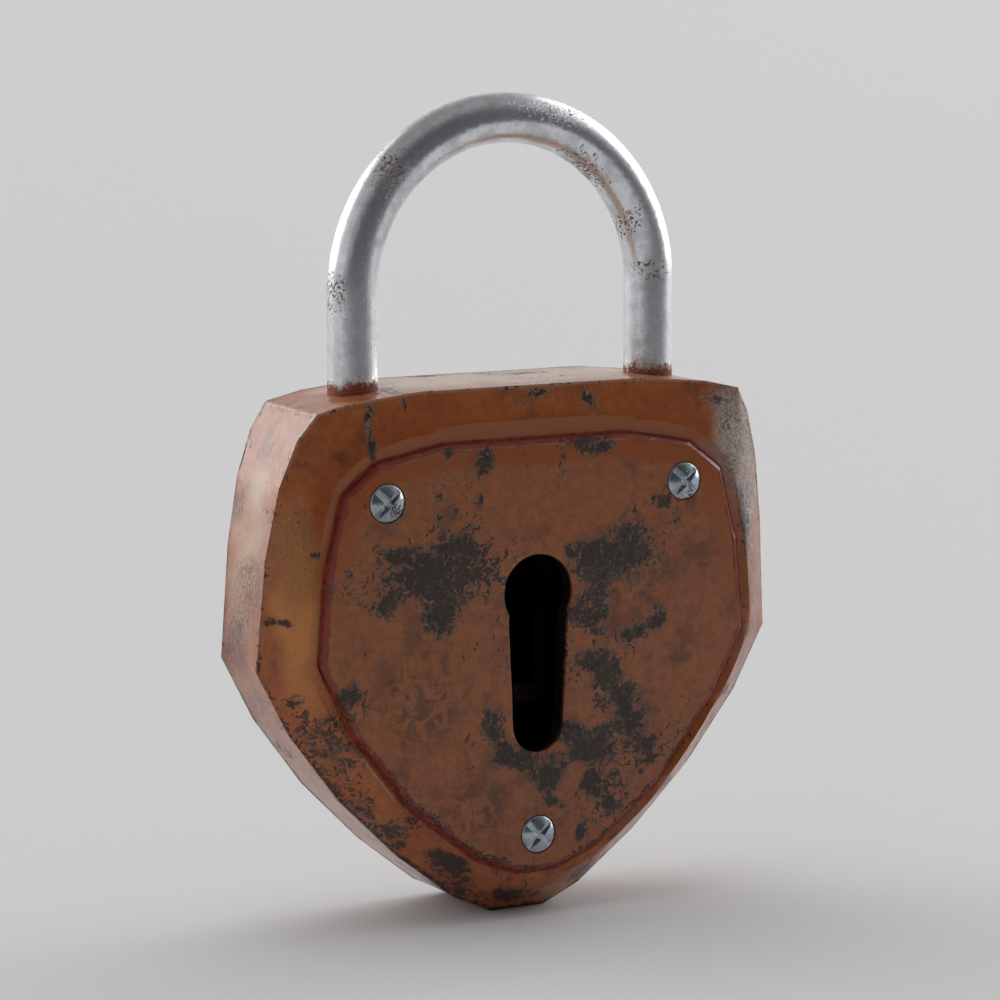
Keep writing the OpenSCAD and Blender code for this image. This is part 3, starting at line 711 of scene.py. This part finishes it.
def bead_round(corners, section):
    """Bead along a closed path. The section is a list of (outwards, depth) in millimetres. Where
    the path starts to run the other way, the bead turns inside out."""
    bm = bmesh.new()
    middle = sum(corners) / len(corners)
    rings = []
    for i, p in enumerate(corners):
        run = corners[(i + 1) % len(corners)] - corners[i - 1]
        out = np.array([run[2], 0, -run[0]]) / math.hypot(run[0], run[2])
        if out @ (p - middle) < 0:
            out = -out
        rings.append([bm.verts.new(p + out * w * MM + np.array([0, d * MM, 0])) for w, d in section])
    for i in range(len(rings)):
        a, b = rings[i - 1], rings[i]
        for j in range(len(section)):
            bm.faces.new((a[j - 1], b[j - 1], b[j], a[j]))
    bmesh.ops.recalc_face_normals(bm, faces=bm.faces)
    return bm


def rusted_seam(seam_lines):
    """Young rust along the rim of the cover plate. It stands for no CAD node. About a fifth of each
    turn's surface is outside plate and case, and the faces of the first two turns point inwards."""
    section = [(-0.1, 0.36), (0.5, 0.48), (0.5, 0.9), (-0.1, 0.9)]
    piece = finish_mesh(bead_round(in_order(seam_lines), section), "seam_rust", 60)
    piece.data.materials.append(seam_rust)
    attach(piece, "case_body")


def worn_shackle():
    """Shackle, shaded smooth, with its long triangles cut to a grid."""
    bm = joined_copy("shackle")
    grid_cut(bm, list(bm.faces), 1.3)
    stand_for(finish_mesh(bm, "shackle_worn"), "shackle", "shackle_body", bar_steel)


def worn_screws():
    """Cover screws with their sharp edges bevelled."""
    for name in SCREWS:
        head = merged_copy(name)
        bevel(head, sharp_edges(head, 50), 0.05, 1)
        stand_for(finish_mesh(head, name + "_worn", 30), name, "case_body", screw_steel)


plate_rim = worn_plate()
worn_case(plate_rim)
rusted_seam(plate_rim)
worn_shackle()
worn_screws()

# Lock work inside: the CAD nodes themselves, in their own finishes
dull_steel = polished_steel("browned_steel", "#241f1c", "#1b1512", 0.45, [(30, 0, 30, 3, 3, 3, 0)])
spring_steel = polished_steel("spring_steel_wire", "#4d4a47", "#2e2a27", 0.4, [(22, 0, 34, 6, 6, 3, 0)])
brass = polished_steel("tarnished_brass", "#5e4a24", "#33280f", 0.45, [(0, 8, 41, 3, 3, 2, 0)])
FINISH_OF = {"lock_work_steel": dull_steel, "spring_steel": spring_steel, "bush_brass": brass}
for name, piece in frame["nodes"].items():
    if SLOT_OF[name] in FINISH_OF:
        piece.data.materials.clear()
        piece.data.materials.append(FINISH_OF[SLOT_OF[name]])


# ---------------------------------------------------------------- floor, light and camera

# Strength of the air all round, and the sheet's front edge and reach in metres
AIR = 0.9
SHEET_FRONT, SHEET_REACH = -0.41, 16

# Bright soft panels far off: direction, half angles of the rim and the heart, and strength
PANELS = [((-0.47, 0.82, 0.2), 40, 10, 3.0), ((0.93, 0.25, 0.2), 38, 10, 6.0)]


def studio():
    """Pale sheet that ends in front of the lock, a world that is darker in front, a soft overhead."""
    bm = bmesh.new()
    near, far, side = SHEET_FRONT, SHEET_REACH, SHEET_REACH
    outline = ((-side, near), (side, near), (side, far), (-side, far))
    bm.faces.new([bm.verts.new((x, y, 0)) for x, y in outline])
    floor = finish_mesh(bm, "studio_floor", 60)
    mat, _, shader, _ = new_material("matt_grey_paper")
    shader.inputs["Base Color"].default_value = colour("#cacaca")
    shader.inputs["Roughness"].default_value = 0.9
    floor.data.materials.append(mat)

    world = bpy.data.worlds.new("studio_air")
    bpy.context.scene.world = world
    world.use_nodes = True
    tree = world.node_tree
    tree.nodes.clear()
    ahead = add(tree, "TexCoord").outputs["Generated"]
    depth = add(tree, "SeparateXYZ", {0: ahead}).outputs["Y"]
    tone = add(tree, "Mix", {FAC: fade(tree, depth, -0.82, -0.2), COL_A: colour("#606062"),
                             COL_B: colour("#d6d6d6")}, data_type="RGBA").outputs[COL_OUT]
    height = add(tree, "SeparateXYZ", {0: ahead}).outputs["Z"]
    above = fade(tree, height, 0.35, 0.9, 0.45)
    power = add(tree, "Math", {0: AIR, 1: above}, operation="SUBTRACT").outputs[0]
    for spot, rim, heart, extra in PANELS:
        facing = add(tree, "VectorMath", {0: ahead, 1: Vector(spot).normalized()},
                     operation="DOT_PRODUCT").outputs["Value"]
        panel = fade(tree, facing, math.cos(math.radians(rim)), math.cos(math.radians(heart)), extra)
        power = add(tree, "Math", {0: power, 1: panel}, operation="ADD").outputs[0]
    air = add(tree, "Background", {"Color": tone, "Strength": power})
    add(tree, "OutputWorld", {"Surface": air.outputs[0]})

    lamp = bpy.data.lights.new("overhead", "SUN")
    lamp.energy, lamp.angle = 1.0, math.radians(60)
    light = bpy.data.objects.new(lamp.name, lamp)
    bpy.context.scene.collection.objects.link(light)
    light.rotation_mode = "QUATERNION"
    light.rotation_quaternion = Vector((0.3, -0.5, -2.0)).to_track_quat("-Z", "Y")
    light.visible_glossy = False


def camera():
    """Long lens, seen from the left and a little above."""
    turn, rise, away = math.radians(-29), math.radians(8.1), 513.9 * MM
    aim = Vector((-5.6, -9.3, 55.45)) * MM
    back = Vector((math.sin(turn) * math.cos(rise), -math.cos(turn) * math.cos(rise), math.sin(rise)))
    data = bpy.data.cameras.new("camera")
    data.lens, data.sensor_width = 144, 36
    eye = bpy.data.objects.new("camera", data)
    bpy.context.scene.collection.objects.link(eye)
    eye.location = aim + back * away
    eye.rotation_mode = "QUATERNION"
    eye.rotation_quaternion = (-back).to_track_quat("-Z", "Y")
    data.clip_start, data.clip_end = 0.01, 50
    bpy.context.scene.camera = eye


studio()
camera()
bpy.context.scene.view_settings.view_transform = "Standard"
bpy.context.view_layer.update()
